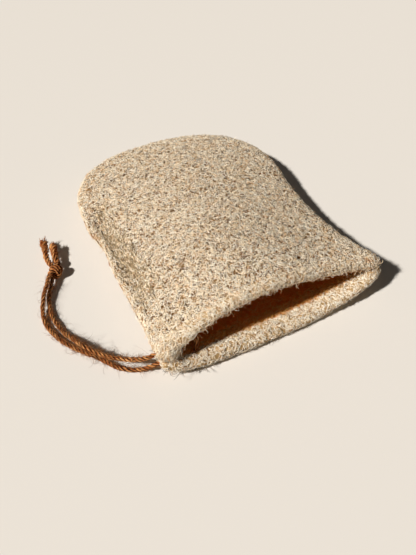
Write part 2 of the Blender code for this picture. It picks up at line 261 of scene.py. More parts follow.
# %% The route of the twine and a smooth line through it
TWINE = 2.8 * MM
TIGHT_TWINE = 2.35 * MM
LOOP_ROUTE = (
    (-0.0918, 0.0056, 0.0026), (-0.0951, 0.0000, 0.0017), (-0.0971, -0.0042, 0.0016),
    (-0.0985, -0.0096, 0.0016), (-0.0994, -0.0152, 0.0016), (-0.0994, -0.0206, 0.0016),
    (-0.0985, -0.0262, 0.0016), (-0.0972, -0.0322, 0.0020), (-0.0951, -0.0378, 0.0032),
    (-0.0931, -0.0432, 0.0045), (-0.0906, -0.0486, 0.0050), (-0.0874, -0.0530, 0.0050),
    (-0.0843, -0.0568, 0.0050), (-0.0805, -0.0605, 0.0055), (-0.0766, -0.0640, 0.0064),
    (-0.0727, -0.0672, 0.0077), (-0.0691, -0.0696, 0.0092), (-0.0663, -0.0709, 0.0108),
    (-0.0635, -0.0714, 0.0121), (-0.0574, -0.0699, 0.0134), (-0.0512, -0.0684, 0.0147),
    (-0.0463, -0.0688, 0.0142), (-0.0440, -0.0702, 0.0124), (-0.0431, -0.0721, 0.0098),
    (-0.0440, -0.0740, 0.0072), (-0.0463, -0.0754, 0.0054), (-0.0512, -0.0758, 0.0049),
    (-0.0574, -0.0741, 0.0051), (-0.0640, -0.0725, 0.0053), (-0.0672, -0.0716, 0.0040),
    (-0.0705, -0.0703, 0.0026), (-0.0743, -0.0684, 0.0017), (-0.0780, -0.0661, 0.0016),
    (-0.0814, -0.0628, 0.0016), (-0.0843, -0.0583, 0.0016), (-0.0872, -0.0539, 0.0016),
    (-0.0905, -0.0494, 0.0016), (-0.0939, -0.0451, 0.0016), (-0.0974, -0.0402, 0.0016),
    (-0.1003, -0.0349, 0.0016), (-0.1025, -0.0288, 0.0016), (-0.1038, -0.0227, 0.0016),
    (-0.1037, -0.0168, 0.0018), (-0.1025, -0.0118, 0.0029), (-0.1005, -0.0072, 0.0041),
    (-0.0983, -0.0028, 0.0047), (-0.0957, 0.0014, 0.0050), (-0.0930, 0.0065, 0.0056))
LONG_TAIL = ((-0.0887, 0.0145, 0.0041), (-0.0896, 0.0200, 0.0042), (-0.0891, 0.0250, 0.0046),
             (-0.0881, 0.0302, 0.0051), (-0.0875, 0.0342, 0.0054))
SHORT_TAIL = ((-0.0854, 0.0145, 0.0044), (-0.0853, 0.0196, 0.0046), (-0.0843, 0.0246, 0.0048),
              (-0.0835, 0.0294, 0.0050))
FINE_STEP = 0.5 * MM
CURVE_STEPS = 40


def walked_along(line):
    """How far along the line each of its points is."""
    return np.concatenate(([0], np.cumsum(np.linalg.norm(np.diff(line, axis=0), axis=1))))


def smooth_route(points, step):
    """Even steps along one smooth curve through the route's own points."""
    points = np.array(points)
    chord = np.sqrt(np.linalg.norm(np.diff(points, axis=0), axis=1))
    knots = np.concatenate(([0], np.cumsum(chord)))
    slope = np.gradient(points, knots, axis=0)
    fine = np.linspace(0, knots[-1], CURVE_STEPS * len(points))
    low = np.clip(np.searchsorted(knots, fine) - 1, 0, len(points) - 2)
    width = (knots[low + 1] - knots[low])[:, None]
    t = (fine - knots[low])[:, None] / width
    curve = ((1 + 2 * t) * (1 - t) ** 2 * points[low] + t * (1 - t) ** 2 * width * slope[low]
             + t * t * (3 - 2 * t) * points[low + 1] - t * t * (1 - t) * width * slope[low + 1])
    walked = walked_along(curve)
    even = np.linspace(0, walked[-1], max(2, round(walked[-1] / step)) + 1)
    return np.stack([np.interp(even, walked, curve[:, k]) for k in range(3)], axis=1)


def path_length(line):
    return float(np.linalg.norm(np.diff(line, axis=0), axis=1).sum())


loop_line = smooth_route(LOOP_ROUTE, FINE_STEP)
long_line = smooth_route(LONG_TAIL, FINE_STEP)
short_line = smooth_route(SHORT_TAIL, FINE_STEP)
print(f"twine loop {path_length(loop_line):.3f} m")

# %% [markdown]
# ## Three plies
#
# The maker twists three thin plies together, and each goes once round in about 7.5 mm. Evenly wound
# tubes would look like a machine screw. A spun ply is never even, so its thickness wanders by a sixth,
# and the twist is tighter in one place than in the next. The grooves are darkened only outside the
# hole, because inside the mitt little light falls on the twine anyway.

# %% Two directions across a line
LAY = 7.5 * MM


def steady_frame(line):
    """Two directions across the line that turn no more than the line itself does."""
    along = unit(np.gradient(line, axis=0))
    first = unit(np.cross(along[0], (0.3, 0.2, 1.0)))
    across = [first]
    for step in along[1:]:
        carried = across[-1] - step * np.dot(across[-1], step)
        across.append(unit(carried))
    across = np.array(across)
    return across, np.cross(along, across)


def marks_along(walked, every):
    return np.arange(0, walked[-1] + 2 * every, every)


print("turns of the twist in the loop:", round(path_length(loop_line) / LAY, 1))


# %% Wind the plies round the line
PLIES = 3
PLY_SHARE = 0.245
PLY_SIDES = 10
TWIST_EVERY = 6 * MM
TWIST_WANDER = 0.45
THICKNESS_EVERY = 3 * MM
THINNEST_PLY = 0.82
THICKEST_PLY = 1.14
STRAND_RIDGE = 0.10
STRAND_RIDGE_LENGTH = 2.2 * MM
STREAK_TWIST = 900.0
STREAK_STRETCH = 320
STREAK_WIDTH = 1.3
STREAK_PER_PLY = 9
HOLE_X = -0.0638


def plied(line, thickness, seed_turn=0.0, loosen=None):
    """Tubes of the plies: lines, outward directions, radii, streak coordinates and grooves."""
    first, second = steady_frame(line)
    walked = walked_along(line)
    loosen = np.ones(len(line)) if loosen is None else loosen
    wobble = np.random.default_rng(int(1000 * seed_turn) + 3)
    marks = marks_along(walked, TWIST_EVERY)
    twist = np.interp(walked, marks, wobble.normal(0, TWIST_WANDER, len(marks)))
    sides = np.arange(PLY_SIDES) * 2 * math.pi / PLY_SIDES
    ridge = 1 + STRAND_RIDGE * np.cos(3 * sides[None]
                                      - walked[:, None] * 2 * math.pi / STRAND_RIDGE_LENGTH)
    streak = sides[None] - walked[:, None] * STREAK_TWIST
    groove = np.broadcast_to(1 - np.clip(np.sin(sides), 0, 1) ** 0.7, (len(line), PLY_SIDES))
    lines, outs, radii, strands, grooves = [], [], [], [], []
    for ply in range(PLIES):
        turn = 2 * math.pi * (walked / LAY + ply / PLIES) + seed_turn + twist
        out = np.cos(turn)[:, None] * first + np.sin(turn)[:, None] * second
        marks = marks_along(walked, THICKNESS_EVERY)
        uneven = np.interp(walked, marks, wobble.uniform(THINNEST_PLY, THICKEST_PLY, len(marks)))
        offset = (thickness / 2 - thickness * PLY_SHARE) * loosen
        lines.append(line + out * offset[:, None])
        outs.append(out)
        radii.append((thickness * PLY_SHARE * uneven)[:, None] * ridge)
        strands.append(np.stack(np.broadcast_arrays(
            walked[:, None] * STREAK_STRETCH, np.cos(streak) * STREAK_WIDTH,
            np.sin(streak) * STREAK_WIDTH + STREAK_PER_PLY * ply), axis=-1))
        grooves.append(groove * (line[:, :1] < HOLE_X))
    return [np.array(part) for part in (lines, outs, radii, strands, grooves)]


def twine_mesh(name, runs):
    """One mesh of several plied runs."""
    swept = []
    for lines, outs, radii, strand, groove in runs:
        points, faces = sweep(lines, outs, radii, PLY_SIDES)
        swept.append((points, faces, {"strand": strand.reshape(-1, 3), "groove": groove.ravel()}))
    return joined_mesh(name, swept)


twine_loop = add_piece("twine_loop", twine_mesh("twine_loop", [plied(loop_line, TIGHT_TWINE)]),
                       jute)
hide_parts("cord_loop")

# %% [markdown]
# ## Knot
#
# An overhand knot in a doubled twine shows two strands that lie side by side and wrap slantwise round
# the two that run through. A single lump with grooves would do from far away. Here the strands are
# wound for real, at the tight width of the twine without its fuzz.

# %% The knot
KNOT_CENTRE = np.array((-0.0884, 0.0096, 0.0042))
KNOT_TURN = math.radians(35)
KNOT_AXIS = np.array((math.sin(KNOT_TURN), math.cos(KNOT_TURN), 0.0))
KNOT_SIDE = np.array((math.cos(KNOT_TURN), -math.sin(KNOT_TURN), 0.0))
KNOT_UP = np.array((0.0, 0.0, 1.0))
KNOT_HALF_WIDTH = 2.75 * MM
KNOT_FLATNESS = 0.84
KNOT_TAPER = 0.06
WRAP_START = 0.4
WRAP_TURNS = 1.35
WRAP_SLANT = 1.6 * MM
WRAP_LEAN = 0.9 * MM
WRAP_STEPS_PER_TURN = 60


def wrap_line(shift):
    """A strand wound round the middle of the knot, shifted along its axis."""
    turn = np.linspace(WRAP_START, WRAP_START + WRAP_TURNS * 2 * math.pi,
                       int(WRAP_STEPS_PER_TURN * WRAP_TURNS))
    along = shift + WRAP_SLANT * np.linspace(-0.5, 0.5, len(turn))
    lean = WRAP_LEAN * np.sin(turn + 0.6)
    wide = KNOT_HALF_WIDTH * (1 - KNOT_TAPER * np.abs(along) / MM)
    return (KNOT_CENTRE + (along + lean)[:, None] * KNOT_AXIS
            + (wide * np.cos(turn))[:, None] * KNOT_SIDE
            + (wide * KNOT_FLATNESS * np.sin(turn))[:, None] * KNOT_UP)


def through_line(first, last, lean):
    """A strand that runs through the knot from the loop to a tail."""
    first, last = np.array(first), np.array(last)
    middle = (first + last) / 2 + np.array(lean) * MM
    return smooth_route((first, (first + middle) / 2, middle, (middle + last) / 2, last), FINE_STEP)


knot_runs = [
    plied(wrap_line(-1.35 * MM), TIGHT_TWINE, seed_turn=0.5),
    plied(wrap_line(0.95 * MM), TIGHT_TWINE, seed_turn=1.7),
    plied(through_line(LOOP_ROUTE[0], LONG_TAIL[0], (-0.4, 0.2, -0.4)), TIGHT_TWINE, seed_turn=0.9),
    plied(through_line(LOOP_ROUTE[-1], SHORT_TAIL[0], (0.4, -0.2, 0.2)), TIGHT_TWINE, seed_turn=2.2)]
twine_knot = add_piece("twine_knot", twine_mesh("twine_knot", knot_runs), jute)
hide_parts("cord_knot")

# %% [markdown]
# ## Free hairs
#
# Cut ends open into a brush, and jute sheds hairs all along. A hair system would draw them, but it
# leaves no mesh behind. Here each hair is its own thin tube of three sides that narrows to its tip. It
# keeps turning about an axis of its own, as a dry bast fibre does.

# %% Curling hairs
HAIR_UNEVEN = 0.06
HAIR_TAPER = 0.7
HAIR_OUTWARD = (0.31, 0.17, 0.93)
LOWEST_HAIR = 0.15 * MM
HAIR_SIDES = 3
HAIR_TONES = 40
HAIR_DARKEST = 0.3


def hair_lines(starts, headings, lengths, curl, steps):
    """Curling free hairs: each keeps turning about its own axis, and none goes under the table."""
    count = len(starts)
    axis = unit(draw.normal(size=(count, 3)))
    spin = draw.normal(0, curl, (count, 1))
    heading = unit(headings)
    points = [starts]
    for step in range(steps - 1):
        uneven = draw.normal(0, HAIR_UNEVEN, (count, 3))
        heading = unit(heading + spin * np.cross(axis, heading) + uneven)
        points.append(points[-1] + heading * (lengths / (steps - 1))[:, None])
    lines = np.stack(points, axis=1)
    lines[..., 2] = np.maximum(lines[..., 2], LOWEST_HAIR)
    return lines


def hair_mesh(name, groups):
    """One mesh of thin three-sided tubes that taper to their free ends."""
    swept = []
    for lines, thickness in groups:
        steps = np.linspace(0, 1, lines.shape[1])
        radii = (thickness / 2)[:, None] * (1 - HAIR_TAPER * steps[None] ** 2)
        points, faces = sweep(lines, np.broadcast_to(HAIR_OUTWARD, lines.shape), radii, HAIR_SIDES)
        strand = np.zeros((*lines.shape[:2], HAIR_SIDES, 3))
        strand[..., 0] = steps[None, :, None] * 2
        strand[..., 1] = draw.uniform(0, HAIR_TONES, len(lines))[:, None, None]
        groove = np.repeat(draw.uniform(0, HAIR_DARKEST, len(lines)), lines.shape[1] * HAIR_SIDES)
        swept.append((points, faces, {"strand": strand.reshape(-1, 3), "groove": groove}))
    return joined_mesh(name, swept)


# %% The two tails, opened into a brush at their tips
TAIL_THICKNESS = TWINE * 1.20
FRAY_LENGTH = 9.0 * MM
PLIES_OPEN_BY = 0.70
PLIES_SWELL_BY = 0.25
CUT_END = 0.15
GROOVES_FADE_BY = 0.7
BRUSH_HAIRS = 190
BRUSH_ROOT = (0.30, 0.62)
BRUSH_LENGTH = (1.2, 3.6)
BRUSH_LEAN = (-0.1, 0.22)
BRUSH_THICKNESS = (0.28, 0.50)
BRUSH_CURL = 0.20
BRUSH_STEPS = 6


def frayed_tail(name, line, node, seed_turn):
    left = path_length(line) - np.arange(len(line)) * FINE_STEP
    opening = np.clip(1 - left / FRAY_LENGTH, 0, 1)
    lines, outs, radii, strand, groove = plied(line, TAIL_THICKNESS, seed_turn=seed_turn,
                                               loosen=1 + PLIES_OPEN_BY * opening ** 1.5)
    radii = radii * (1 + PLIES_SWELL_BY * opening)[None, :, None]
    radii[:, -1] *= CUT_END
    groove = groove * (1 - GROOVES_FADE_BY * opening)[None, :, None]
    tail = add_piece(name, twine_mesh(name, [(lines, outs, radii, strand, groove)]), jute)
    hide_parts(node)
    first, second = steady_frame(line)
    pick = len(line) - 1 - draw.integers(0, round(FRAY_LENGTH / FINE_STEP), BRUSH_HAIRS)
    turn = draw.uniform(0, 2 * math.pi, BRUSH_HAIRS)
    out = np.cos(turn)[:, None] * first[pick] + np.sin(turn)[:, None] * second[pick]
    ahead = unit(np.gradient(line, axis=0))[pick]
    starts = line[pick] + out * TWINE * draw.uniform(*BRUSH_ROOT, (BRUSH_HAIRS, 1))
    lengths = draw.uniform(*BRUSH_LENGTH, BRUSH_HAIRS) * MM
    heading = ahead + out * draw.uniform(*BRUSH_LEAN, (BRUSH_HAIRS, 1))
    brush = hair_lines(starts, heading, lengths, BRUSH_CURL, BRUSH_STEPS)
    return tail, (brush, draw.uniform(*BRUSH_THICKNESS, BRUSH_HAIRS) * MM)


tail_long, long_brush = frayed_tail("twine_tail_long", long_line, "cord_tail_long", 0.3)
tail_short, short_brush = frayed_tail("twine_tail_short", short_line, "cord_tail_short", 1.1)
tail_brush = add_piece("twine_tail_brush", hair_mesh("twine_tail_brush", [long_brush, short_brush]),
                       jute)

# %% [markdown]
# ## Fuzz on the twine
#
# Most of the hairs on the loop are short, and many lie close to it. A few are long and curl away over
# the table. An even fuzz would look like wool. The photograph shows more of it on the side towards the
# mitt, and most of all where the loop bends, so the random choice leans that way.

# %% Short and long hairs
CLOSE_HAIRS = 800
FREE_HAIRS = 1050
FUZZ_TO_X = -0.066
FUZZIEST_Y = -0.045
FUZZIEST_REACH = 0.014
FUZZIEST_EXTRA = 1.8
FUZZY_SIDE = np.array((0.7, 0.6, -0.1))
FUZZY_SIDE_SHARE = 0.55
FUZZ_ROOT = 0.40


def fuzz(count, steps, shortest, longest, lift, curl, thinnest, thickest):
    """Hairs that stand out of the loop outside the mitt: lines and thicknesses."""
    first, second = steady_frame(loop_line)
    outside = np.flatnonzero(loop_line[:, 0] < FUZZ_TO_X)
    away_from_bend = (loop_line[outside, 1] - FUZZIEST_Y) / FUZZIEST_REACH
    chance = 1 + FUZZIEST_EXTRA * np.exp(-away_from_bend ** 2)
    pick = draw.choice(outside, count, p=chance / chance.sum())
    turn = draw.uniform(0, 2 * math.pi, count)
    out = np.cos(turn)[:, None] * first[pick] + np.sin(turn)[:, None] * second[pick]
    away = (out @ FUZZY_SIDE < 0) & (draw.random(count) < FUZZY_SIDE_SHARE)
    out[away] = -out[away]
    ahead = unit(np.gradient(loop_line, axis=0))[pick] * draw.choice((-1, 1), (count, 1))
    heading = ahead + out * lift * draw.uniform(0.3, 1.6, (count, 1))
    lengths = shortest + (longest - shortest) * draw.random(count) ** 2.2
    starts = loop_line[pick] + out * TWINE * FUZZ_ROOT
    lines = hair_lines(starts, heading, lengths, curl, steps)
    return lines, draw.uniform(thinnest, thickest, count)


close_fuzz = fuzz(CLOSE_HAIRS, 6, 1.5 * MM, 4.5 * MM, 0.45, 0.30, 0.11 * MM, 0.22 * MM)
add_piece("twine_close_fuzz", hair_mesh("twine_close_fuzz", [close_fuzz]), jute)
# The long free hairs are painted dark: painted shade.
free_fuzz = fuzz(FREE_HAIRS, 8, 1.6 * MM, 9.5 * MM, 1.1, 0.95, 0.08 * MM, 0.14 * MM)
add_piece("twine_free_fuzz", hair_mesh("twine_free_fuzz", [free_fuzz]), jute_hair_painted_shade)

# %% [markdown]
# ## Colours of the loofah
#
# Each fibre of a dried loofah has its own tone, from straw brown to cream, and a fine mottle along it.
# One picture laid over the whole mitt would repeat itself. So every mesh carries a number, its tone,
# which the material shifts with noise and looks up in a few colour steps. A second number says how far
# a place is inside the pocket, where the colour is a painted deep orange: painted shade, and a painted
# glow of the light that comes through the sheets.

# %% Loofah material
MOTTLE_STRENGTH = 1.5
PATCH_STRENGTH = 0.4
# Colour steps of the painted shade and glow in the pocket.
POCKET_SHADE_GLOW_STEPS = [(0.0, srgb(255, 128, 30)), (1.0, srgb(255, 196, 104))]


def make_loofah(name, steps, roughness, shine, grain, bump):
    """Colour from each fibre's own tone and a fine mottle, and painted orange shade and glow in the
    pocket.
    """
    material, tree, shader = start_material(name, roughness)
    shader.inputs["Specular IOR Level"].default_value = shine
    tone = add_node(tree, "ShaderNodeAttribute", attribute_name="tone").outputs["Fac"]
    pocket_shade_glow = add_node(tree, "ShaderNodeAttribute", attribute_name="pocket_shade_glow").outputs["Fac"]
    mottle = add_node(tree, "ShaderNodeTexNoise", Scale=grain, Detail=3.0, Roughness=0.65)
    patches = add_node(tree, "ShaderNodeTexNoise", Scale=55.0, Detail=3.0)
    shifted = tone
    for noise, strength in ((mottle, MOTTLE_STRENGTH), (patches, PATCH_STRENGTH)):
        centred = add_node(tree, "ShaderNodeMath", [(0, noise.outputs["Fac"])], operation="SUBTRACT")
        centred.inputs[1].default_value = 0.5
        scaled = add_node(tree, "ShaderNodeMath", [(0, centred.outputs[0])], operation="MULTIPLY")
        scaled.inputs[1].default_value = strength
        shifted = add_node(tree, "ShaderNodeMath", [(0, shifted), (1, scaled.outputs[0])],
                           operation="ADD").outputs[0]
    colour = colour_steps(tree, shifted, steps)
    inside = colour_steps(tree, shifted, POCKET_SHADE_GLOW_STEPS)
    mixed = add_node(tree, "ShaderNodeMix", data_type="RGBA")
    tree.links.new(pocket_shade_glow, mixed.inputs["Factor"])
    tree.links.new(colour, mixed.inputs[6])
    tree.links.new(inside, mixed.inputs[7])
    tree.links.new(mixed.outputs[2], shader.inputs["Base Color"])
    relief = add_node(tree, "ShaderNodeBump", [("Height", mottle.outputs["Fac"])],
                      Strength=bump, Distance=0.0006)
    tree.links.new(relief.outputs["Normal"], shader.inputs["Normal"])
    return material


# %% Finishes of the free fibres, the fold, the stray ends and the mat
fibre_finish = make_loofah("loofah_fibre", [
    (0.00, srgb(144, 82, 32)), (0.22, srgb(224, 168, 106)), (0.52, srgb(255, 228, 184)),
    (1.00, srgb(255, 245, 226))], roughness=0.34, shine=0.9, grain=1500.0, bump=0.4)
# The fold's fibres are greyer and darker than the rest: painted shade in the fold.
fold_shade_finish = make_loofah("loofah_fold_fibre", [
    (0.00, srgb(104, 82, 52)), (0.45, srgb(172, 144, 104)), (1.00, srgb(238, 218, 184))],
    roughness=0.5, shine=0.5, grain=900.0, bump=0.35)
# Dark grey brown for the stray ends at the corner and the front: painted shade.
stray_shade_finish = make_loofah("loofah_stray", [
    (0.00, srgb(56, 46, 34)), (1.00, srgb(150, 126, 92))],
    roughness=0.6, shine=0.5, grain=900.0, bump=0.3)
mat_finish = make_loofah("loofah_mat", [
    (0.00, srgb(48, 24, 8)), (0.26, srgb(124, 82, 38)), (0.50, srgb(212, 171, 114)),
    (1.00, srgb(248, 224, 182))], roughness=0.8, shine=0.15, grain=1300.0, bump=1.0)
for finish in (fibre_finish, fold_shade_finish, stray_shade_finish, mat_finish):
    print("finish", finish.name)

# %% [markdown]
# ## Sewing thread
#
# One cotton thread joins the sheets in the seam allowance, where it can hardly be seen. Its solid could
# be dressed in twisted strands too, but it keeps its own mesh here. A wave texture gives it its twist.

# %% Sewing thread
thread_finish, thread_tree, thread_shader = start_material("sewing_thread", 0.6)
thread_twist = add_node(thread_tree, "ShaderNodeTexWave", Scale=900.0, Distortion=3.0, Detail=2.0)
thread_colour = colour_steps(thread_tree, thread_twist.outputs["Fac"],
                             [(0.2, srgb(196, 168, 128)), (0.8, srgb(236, 218, 186))])
thread_tree.links.new(thread_colour, thread_shader.inputs["Base Color"])
thread_ridges = add_node(thread_tree, "ShaderNodeBump", [("Height", thread_twist.outputs["Fac"])],
                         Strength=0.6, Distance=0.0002)
thread_tree.links.new(thread_ridges.outputs["Normal"], thread_shader.inputs["Normal"])
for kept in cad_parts["seam_thread"].material_slots:
    kept.material = thread_finish
print("thread slots", len(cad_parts["seam_thread"].material_slots))

# %% [markdown]
# ## Loofah sheets
#
# A dried loofah is a sponge of tough fibres. Under the free fibres of the surface lies a dense mat,
# which keeps the shape of the sheet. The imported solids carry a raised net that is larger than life. It
# could be painted over, but its ridges would still show. So a voxel remesh and some smoothing turn each
# solid into that quiet mat, with its round lip, crease and twine holes still in place.

# %% The quiet mat under the fibres
VOXEL = 1.4 * MM
SMOOTHING = 6
SHEETS = (("upper", "upper_panel"), ("lower", "lower_panel"))


def quiet_mat(node):
    """A smoothed copy of a solid's mesh as its own mesh."""
    copy = bpy.data.objects.new("mat_source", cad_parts[node].data.copy())
    bpy.context.scene.collection.objects.link(copy)
    remesh = copy.modifiers.new("even", "REMESH")
    remesh.mode = "VOXEL"
    remesh.voxel_size = VOXEL
    smooth = copy.modifiers.new("quiet", "SMOOTH")
    smooth.factor = 0.5
    smooth.iterations = SMOOTHING
    seen = copy.evaluated_get(bpy.context.evaluated_depsgraph_get())
    data = bpy.data.meshes.new_from_object(seen)
    bpy.data.objects.remove(copy, do_unlink=True)
    data.materials.clear()
    data.shade_smooth()
    return data


def mesh_arrays(data):
    """Vertices, triangles and vertex normals of a mesh as arrays."""
    data.calc_loop_triangles()
    points = np.empty(len(data.vertices) * 3, np.float32)
    data.vertices.foreach_get("co", points)
    corners = np.empty(len(data.loop_triangles) * 3, np.int32)
    data.loop_triangles.foreach_get("vertices", corners)
    normals = np.empty(len(data.vertices) * 3, np.float32)
    data.vertices.foreach_get("normal", normals)
    return points.reshape(-1, 3).astype(float), corners.reshape(-1, 3), normals.reshape(-1, 3)


mats = {name: quiet_mat(node) for name, node in SHEETS}
shape = {name: mesh_arrays(data) for name, data in mats.items()}
finder = {name: BVHTree.FromPolygons(points.tolist(), corners.tolist())
          for name, (points, corners, _) in shape.items()}
for name, (points, corners, _) in shape.items():
    print(name, "mat:", len(corners), "triangles, box",
          np.round(points.min(0), 4), np.round(points.max(0), 4))

# %% [markdown]
# ## Which part of a sheet is where
#
# Fibres lie differently on the back of the hand, round the lip, along the crease and in the pocket.
# Painting those areas by hand would be lost with every change of the solids. A ray does it instead: a
# point is in the open if a level or slightly tilted ray, outward from the middle, meets nothing.

# %% Open to the side, or covered
SPINE_NEAR = -0.060
SPINE_FAR = 0.030
RAY_GAP = 0.5
RAY_REACH = 0.15
RAY_TILT = 0.35
FACES_UP = 0.3


def openness(points, normals):
    """One where a point can see out level over the table, nought in the pocket and the seam."""
    spine = np.stack([0 * points[:, 0], np.clip(points[:, 1], SPINE_NEAR, SPINE_FAR),
                      points[:, 2]], axis=1)
    outward = unit((points - spine) * (1, 1, 0))
    outward[:, 2] = RAY_TILT * np.sign(normals[:, 2]) * (np.abs(normals[:, 2]) > FACES_UP)
    starts = points + normals * RAY_GAP * MM
    free = np.ones(len(points))
    for k, (start, way) in enumerate(zip(starts.tolist(), outward.tolist())):
        way = Vector(way).normalized()
        if any(tree.ray_cast(Vector(start), way, RAY_REACH)[0] is not None for tree in finder.values()):
            free[k] = 0.0
    return free


for name, (points, _, normals) in shape.items():
    print(name, "open share", round(float(openness(points, normals).mean()), 2))

# %% How far inside the pocket
# Past this line the pocket gets painted shade and glow. The line follows the edge of the upper lip's
# shadow on the floor of the pocket and starts sooner at the left corner; the underside of the upper sheet
# gets a weaker share of it, further in.
SHADE_STARTS_Y = -0.0752
SHADE_BLEND = 2.0 * MM
CORNER_LIFT = 2.8 * MM
CORNER_FROM_X = -0.044
CORNER_BLEND = 12 * MM
CEILING_STARTS_Y = -0.0740
CEILING_BLEND = 12.0 * MM
CEILING_SHADE = 0.55
POCKET_HEIGHT = 0.04


def pocket_shade(name, points, normals):
    """Painted shade and glow of the pocket: one inside it and nought outside, under the other sheet, with
    a wall to the side.
    """
    own, other = finder[name], finder["lower" if name == "upper" else "upper"]
    toward_other = Vector((0, 0, 1 if name == "lower" else -1))
    corner = CORNER_LIFT * np.clip((CORNER_FROM_X - points[:, 0]) / CORNER_BLEND, 0, 1)
    shade = np.clip((points[:, 1] - SHADE_STARTS_Y + corner) / SHADE_BLEND, 0, 1)
    if name == "upper":
        shade = CEILING_SHADE * np.clip((points[:, 1] - CEILING_STARTS_Y) / CEILING_BLEND, 0, 1)
    starts = points + normals * RAY_GAP * MM
    for k in np.flatnonzero(shade > 0):
        start, side = Vector(starts[k]), Vector((math.copysign(1, points[k, 0]), 0, 0))
        covered = (own.ray_cast(start, toward_other, POCKET_HEIGHT)[0] is None
                   and other.ray_cast(start, toward_other, POCKET_HEIGHT)[0] is not None)
        walled = any(tree.ray_cast(start, side, RAY_REACH)[0] is not None for tree in (own, other))
        shade[k] *= covered and walled
    return shade


# %% The soft fold, and the tones of the two mats
FOLD_MIDDLE_X = -0.0538
FOLD_HALF_WIDTH = 3.2 * MM
FOLD_FROM_Y = -0.048
FOLD_TO_Y = 0.036
FOLD_ABOVE = 13 * MM
# The mat and the fibres along the fold are painted darker: painted shade in the valley of the fold.
FOLD_PAINTED_SHADE = 0.15
LIP_TO_Y = -0.0690
# Near the lips the mat is painted lighter: painted light, as on the lower lip that faces the light.
LIP_PAINTED_LIGHT = 0.25
MAT_TONE = 0.27
MAT_WEAVE = 0.11
WEAVE_X = 700
WEAVE_Y = 640


def fold_share(points):
    """One along the soft fold beside the left edge of the upper sheet, nought away from it."""
    beside = np.exp(-0.5 * ((points[:, 0] - FOLD_MIDDLE_X) / FOLD_HALF_WIDTH) ** 2)
    inside = (points[:, 1] - FOLD_FROM_Y) * (FOLD_TO_Y - points[:, 1])
    along = inside * 4 / (FOLD_TO_Y - FOLD_FROM_Y) ** 2
    return beside * np.clip(along, 0, 1) ** 0.6 * (points[:, 2] > FOLD_ABOVE)


for name, node in SHEETS:
    points, corners, normals = shape[name]
    weave = MAT_WEAVE * np.sin(points[:, 0] * WEAVE_X) * np.sin(points[:, 1] * WEAVE_Y)
    # Painted light: the mat is lighter near the lips.
    lip = LIP_PAINTED_LIGHT * (points[:, 1] < LIP_TO_Y)
    pocket_shade_glow = pocket_shade(name, points, normals)
    # Painted shade: the mat is darker along the fold.
    set_values(mats[name], "tone", MAT_TONE + weave + lip - FOLD_PAINTED_SHADE * fold_share(points))
    # Painted shade and glow in the pocket.
    set_values(mats[name], "pocket_shade_glow", pocket_shade_glow)
    sheet = add_piece(f"loofah_mat_{name}", mats[name], mat_finish)
    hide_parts(node)
    print(name, "share in the pocket", round(float((pocket_shade_glow > 0).mean()), 2))

# %% [markdown]
# ## Fibres of the loofah
#
# The surface of the real thing is a tangle of flat curls, each a little lifted from the mat, with its
# ends going back into it. A noise texture alone looks like felt from the side. So the curls are real:
# each starts as a wandering line on a flat patch, is laid on the nearest place of the mat, and is
# lifted in its middle. Only the outer half of each thin tube is made, to save half of the faces.

# %% Scatter starting points over the mat
def scatter(name, count):
    """Random places spread evenly over a sheet, with their normals."""
    points, corners, normals = shape[name]
    a, b, c = (points[corners[:, k]] for k in range(3))
    area = np.linalg.norm(np.cross(b - a, c - a), axis=1)
    pick = draw.choice(len(corners), count, p=area / area.sum())
    u, v = draw.random((2, count))
    over = u + v > 1
    u[over], v[over] = 1 - u[over], 1 - v[over]
    u, v = u[:, None], v[:, None]
    places = a[pick] * (1 - u - v) + b[pick] * u + c[pick] * v
    na, nb, nc = (normals[corners[pick, k]] for k in range(3))
    return places, unit(na * (1 - u - v) + nb * u + nc * v)


# %% Wandering lines laid on the mat
HEADING_SPREAD = 0.25
WAVE_TURNS = 260
WAVE_STEP = 900


def laid_curls(name, places, normals, lengths, turns, steps, heading=None):
    """Wandering lines laid on the nearest place of the mat: lines and the normals under them."""
    count = len(places)
    across = unit(np.cross(normals, draw.normal(size=(count, 3))))
    if heading is not None:
        across = unit(heading - normals * np.sum(heading * normals, axis=1, keepdims=True)
                      + HEADING_SPREAD * across)
    other = np.cross(normals, across)
    run = np.linspace(-0.5, 0.5, steps)[None] * lengths[:, None]
    bend = draw.normal(0, 1, (count, 1)) * turns
    wave = draw.uniform(0.3, 1.1, (count, 1)) * turns / WAVE_TURNS
    phase = draw.uniform(0, 2 * math.pi, (count, 1))
    angle = bend * run + wave * np.sin(run * WAVE_STEP + phase)
    flat_x = np.cumsum(np.cos(angle), axis=1) * (lengths / (steps - 1))[:, None]
    flat_y = np.cumsum(np.sin(angle), axis=1) * (lengths / (steps - 1))[:, None]
    flat_x -= flat_x.mean(axis=1, keepdims=True)
    flat_y -= flat_y.mean(axis=1, keepdims=True)
    lines = (places[:, None] + flat_x[..., None] * across[:, None] + flat_y[..., None] * other[:, None])
    laid = np.empty_like(lines).reshape(-1, 3)
    under = np.empty_like(laid)
    for k, point in enumerate(lines.reshape(-1, 3).tolist()):
        laid[k], under[k] = finder[name].find_nearest(Vector(point))[:2]
    return laid.reshape(lines.shape), under.reshape(lines.shape)


# %% Lift the fibres, and keep them clear of the twine
ARCH_FULLNESS = 0.7
FEW_RISE_HIGH = 1.8
RIPPLE = 0.25
RIPPLE_TURN = 14
SINK = 0.25 * MM
LOWEST_FIBRE = 0.2 * MM
ROOM_FOR_TWINE = 0.75


